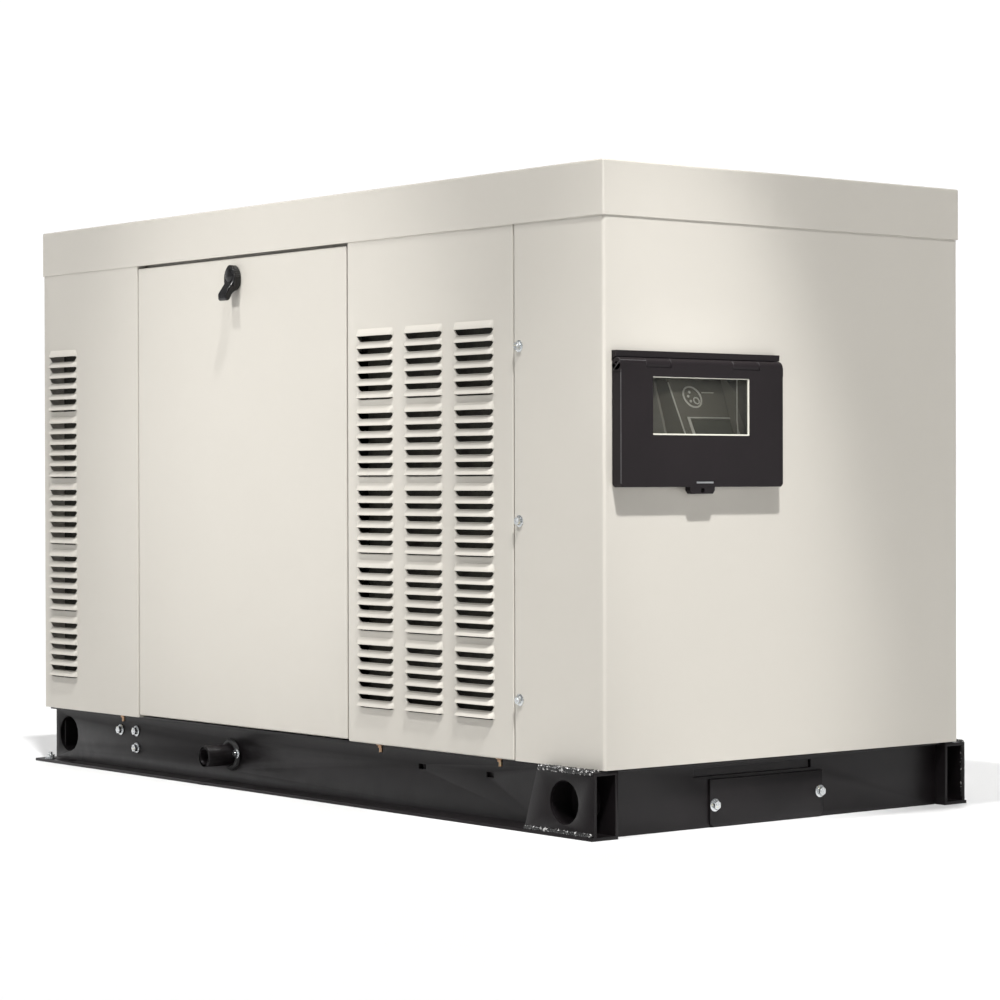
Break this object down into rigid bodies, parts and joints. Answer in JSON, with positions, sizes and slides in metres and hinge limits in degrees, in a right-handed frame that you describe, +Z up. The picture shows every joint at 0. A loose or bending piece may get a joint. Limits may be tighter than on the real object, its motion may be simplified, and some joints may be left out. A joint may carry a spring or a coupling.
{
  "type": "home standby generator",
  "caption": "Home standby generator: louvred sheet-steel enclosure on a black steel base, with tilt-out doors, a hinged control lid, and engine, alternator, radiator and muffler inside.",
  "frame": {"origin": "middle of the bounding box, on the ground", "axes": "+X towards the control end, -Y towards the front door with the fuel inlet, +Z up"},
  "size_m": [1.598, 0.795, 0.967],
  "materials": {
    "enclosure_paint": "fine-textured bisque powder coat, satin",
    "base_paint": "semi-gloss black paint over welded plate",
    "lid_plastic": "moulded black-brown plastic, fine grain",
    "box_plastic": "moulded grey plastic",
    "window_plastic": "clear moulded window",
    "screen_glass": "grey-green display behind a clear face",
    "green_button": "moulded green key",
    "red_button": "moulded red key",
    "blue_button": "moulded blue key",
    "latch_plastic": "black moulded lever over a steel cam",
    "battery_plastic": "black battery case with lead posts",
    "bright_steel": "machined steel",
    "stator_steel": "grey-black painted steel frame",
    "aluminised_steel": "aluminised sheet, dull",
    "iron": "painted casting, rough",
    "cast_aluminium": "as cast, dull",
    "black_enamel": "black enamel",
    "black_rubber": "dull black rubber",
    "zinc_plate": "zinc plated"
  },
  "bodies": {
    "unit": {"roof": "enclosure_paint", "control_end_cover": "enclosure_paint", "radiator_end_cover": "enclosure_paint", "front_louver_panel": "enclosure_paint", "rear_louver_panel": "enclosure_paint", "front_header": "enclosure_paint", "rear_header": "enclosure_paint", "front_rail": "base_paint", "rear_rail": "base_paint", "control_end_crossmember": "base_paint", "radiator_end_crossmember": "base_paint", "engine_crossmember": "base_paint", "alternator_crossmember": "base_paint", "stub_up_cover": "base_paint", "battery_tray": "base_paint", "fuel_inlet_pipe": "base_paint", "control_box": "box_plastic", "control_console": "box_plastic", "display_screen": "screen_glass", "circuit_breaker": "latch_plastic", "battery": "battery_plastic", "air_cleaner": "battery_plastic", "fan_shroud": "battery_plastic", "cover_hinge_pin": "bright_steel", "alternator_stator": "stator_steel", "muffler": "aluminised_steel", "engine_block": "iron", "exhaust_manifold": "iron", "cylinder_head": "cast_aluminium", "flywheel_housing": "cast_aluminium", "intake_manifold": "cast_aluminium", "charge_alternator": "cast_aluminium", "radiator": "cast_aluminium", "valve_cover": "black_enamel", "oil_pan": "black_enamel", "starter_motor": "black_enamel", "oil_filter": "black_enamel", "fan_belt": "black_rubber", "upper_hose": "black_rubber", "lower_hose": "black_rubber", "engine_mount_front": "black_rubber", "engine_mount_rear": "black_rubber", "alternator_mount_front": "black_rubber", "alternator_mount_rear": "black_rubber", "fuel_regulator": "zinc_plate"},
    "front_door": {"front_door": "enclosure_paint"},
    "rear_door": {"rear_door": "enclosure_paint"},
    "front_latch": {"front_latch": "latch_plastic"},
    "rear_latch": {"rear_latch": "latch_plastic"},
    "control_lid": {"control_cover": "lid_plastic", "cover_window": "window_plastic", "cover_hasp": "lid_plastic"},
    "auto_button": {"auto_button": "green_button"},
    "off_button": {"off_button": "red_button"},
    "manual_button": {"manual_button": "blue_button"},
    "breaker_toggle": {"breaker_toggle": "latch_plastic"},
    "crank_train": {"crankshaft": "bright_steel", "alternator_rotor": "bright_steel"},
    "cooling_fan": {"cooling_fan": "battery_plastic"},
    "charge_pulley": {"charge_pulley": "bright_steel"}
  },
  "joints": [
    {"name": "front_door_tilt", "type": "hinge", "parent": "unit", "child": "front_door", "pos_m": [-0.1575, -0.3645, 0.102], "axis": [1, 0, 0], "range_deg": [0, 30]},
    {"name": "rear_door_tilt", "type": "hinge", "parent": "unit", "child": "rear_door", "pos_m": [-0.1575, 0.3685, 0.102], "axis": [-1, 0, 0], "range_deg": [0, 30]},
    {"name": "front_latch_turn", "type": "hinge", "parent": "front_door", "child": "front_latch", "pos_m": [-0.16, -0.3645, 0.8525], "axis": [0, -1, 0], "range_deg": [0, 90]},
    {"name": "rear_latch_turn", "type": "hinge", "parent": "rear_door", "child": "rear_latch", "pos_m": [-0.16, 0.3685, 0.8525], "axis": [0, -1, 0], "range_deg": [0, 90]},
    {"name": "control_lid_swing", "type": "hinge", "parent": "unit", "child": "control_lid", "pos_m": [0.7893, -0.1905, 0.6763], "axis": [0, -1, 0], "range_deg": [0, 110]},
    {"name": "auto_button_press", "type": "slide", "parent": "unit", "child": "auto_button", "axis": [-0.8969, 0, -0.4422], "range_m": [0, 0.002], "stiffness_N_per_m": 300},
    {"name": "off_button_press", "type": "slide", "parent": "unit", "child": "off_button", "axis": [-0.8969, 0, -0.4422], "range_m": [0, 0.002], "stiffness_N_per_m": 300},
    {"name": "manual_button_press", "type": "slide", "parent": "unit", "child": "manual_button", "axis": [-0.8969, 0, -0.4422], "range_m": [0, 0.002], "stiffness_N_per_m": 300},
    {"name": "breaker_toggle_throw", "type": "hinge", "parent": "unit", "child": "breaker_toggle", "pos_m": [0.706, -0.278, 0.61], "axis": [0, 1, 0], "range_deg": [-20, 20]},
    {"name": "crank_turn", "type": "hinge", "parent": "unit", "child": "crank_train", "pos_m": [-0.109, 0.002, 0.3], "axis": [1, 0, 0], "continuous": true},
    {"name": "fan_turn", "type": "hinge", "parent": "unit", "child": "cooling_fan", "pos_m": [-0.579, 0.002, 0.47], "axis": [1, 0, 0], "continuous": true},
    {"name": "charge_pulley_turn", "type": "hinge", "parent": "unit", "child": "charge_pulley", "pos_m": [-0.528, 0.192, 0.42], "axis": [1, 0, 0], "continuous": true}
  ],
  "couplings": [
    {"joint": "fan_turn", "follows": "crank_turn", "ratio": 1.2727},
    {"joint": "charge_pulley_turn", "follows": "crank_turn", "ratio": 2.3333}
  ]
}
